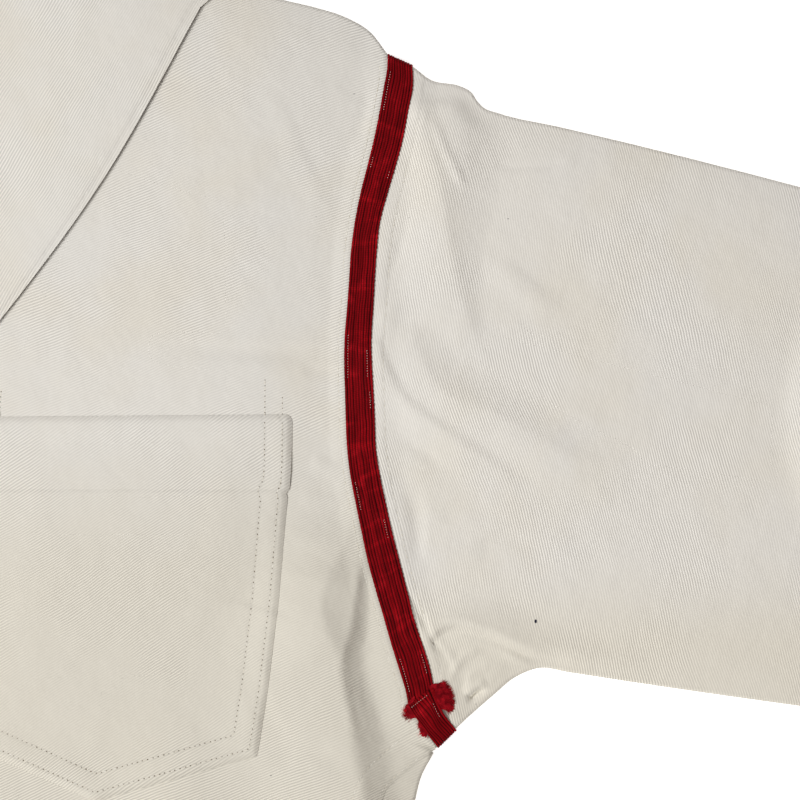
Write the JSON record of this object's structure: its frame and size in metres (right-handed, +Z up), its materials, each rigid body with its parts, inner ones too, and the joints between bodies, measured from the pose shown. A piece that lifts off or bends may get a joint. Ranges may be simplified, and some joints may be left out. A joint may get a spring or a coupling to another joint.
{
  "type": "sailor uniform jumper",
  "caption": "White cotton sailor's jumper laid flat, front up: V neck with sailor collar, left breast pocket and a dark red ribbed braid round the left armhole, frayed at its raw end.",
  "frame": {"origin": "middle of the garment's outline on the surface that it lies on", "axes": "+X across the front towards the wearer's left sleeve, +Y from the hem towards the neck, +Z up out of the surface, the way the front faces"},
  "size_m": [1.5622, 0.663, 0.0155],
  "materials": {
    "white_cotton_drill": "matte twill",
    "dark_red_braid": "ribbed, low sheen"
  },
  "bodies": {
    "root": {"front": "white_cotton_drill", "back": "white_cotton_drill", "sleeve_left": "white_cotton_drill", "sleeve_right": "white_cotton_drill", "collar": "white_cotton_drill", "chest_pocket": "white_cotton_drill", "shoulder_braid": "dark_red_braid", "braid_frayed_end": "dark_red_braid"}
  },
  "joints": []
}
